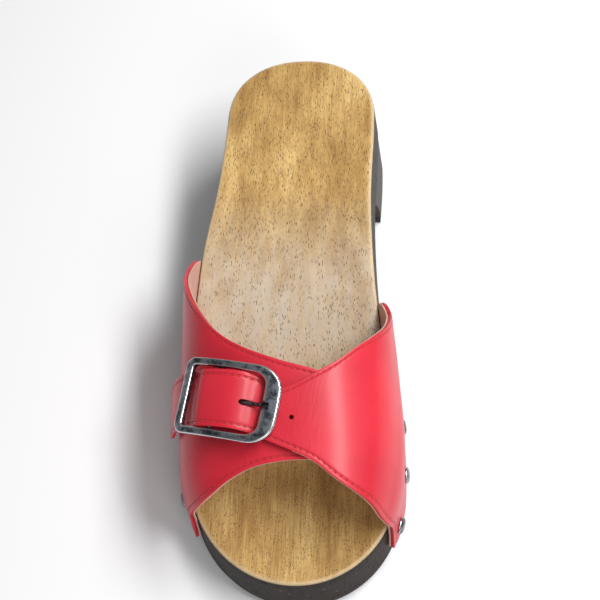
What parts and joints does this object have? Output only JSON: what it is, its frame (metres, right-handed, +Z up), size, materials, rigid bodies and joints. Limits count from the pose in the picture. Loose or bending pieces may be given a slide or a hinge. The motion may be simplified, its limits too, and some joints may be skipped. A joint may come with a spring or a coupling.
{
  "type": "wooden clog",
  "caption": "Open-toed wooden clog for the right foot: contoured wooden sole with a block heel, crossing red leather panels nailed to its sides, and a buckled instep strap.",
  "frame": {"origin": "middle of the footprint's bounding box, on the ground", "axes": "+Z up, -Y towards the toe, -X towards the outer side where the buckle is"},
  "size_m": [0.1018, 0.2498, 0.0841],
  "materials": {
    "footbed_wood": "satin varnish",
    "heel_wood": "dark stained satin",
    "tread_rubber": "matte",
    "red_leather": "smooth satin",
    "lining_leather": "matte",
    "aged_silver": "aged satin",
    "nail_steel": "plain"
  },
  "bodies": {
    "clog": {"sole_plate": "footbed_wood", "heel_block": "heel_wood", "heel_tread": "tread_rubber", "forefoot_tread": "tread_rubber", "heel_nail_1": "nail_steel", "heel_nail_2": "nail_steel", "heel_nail_3": "nail_steel", "lateral_upper": "red_leather", "lateral_lining": "lining_leather", "medial_upper": "red_leather", "medial_lining": "lining_leather", "buckle_chape": "red_leather", "lateral_tack_1": "aged_silver", "lateral_tack_2": "aged_silver", "lateral_tack_3": "aged_silver", "lateral_tack_4": "aged_silver", "lateral_tack_5": "aged_silver", "lateral_tack_6": "aged_silver", "medial_tack_1": "aged_silver", "medial_tack_2": "aged_silver", "medial_tack_3": "aged_silver", "medial_tack_4": "aged_silver", "medial_tack_5": "aged_silver"},
    "buckle": {"buckle_frame": "aged_silver", "buckle_rod": "aged_silver"},
    "prong": {"buckle_prong": "aged_silver"}
  },
  "joints": [
    {"name": "buckle_rock", "type": "hinge", "parent": "clog", "child": "buckle", "pos_m": [-0.02659, -0.05952, 0.07366], "axis": [-0.1831, -0.9496, -0.2546], "range_deg": [-2, 0]},
    {"name": "prong_lift", "type": "hinge", "parent": "buckle", "child": "prong", "pos_m": [-0.02659, -0.05952, 0.07366], "axis": [-0.1831, -0.9496, -0.2546], "range_deg": [0, 3]}
  ]
}
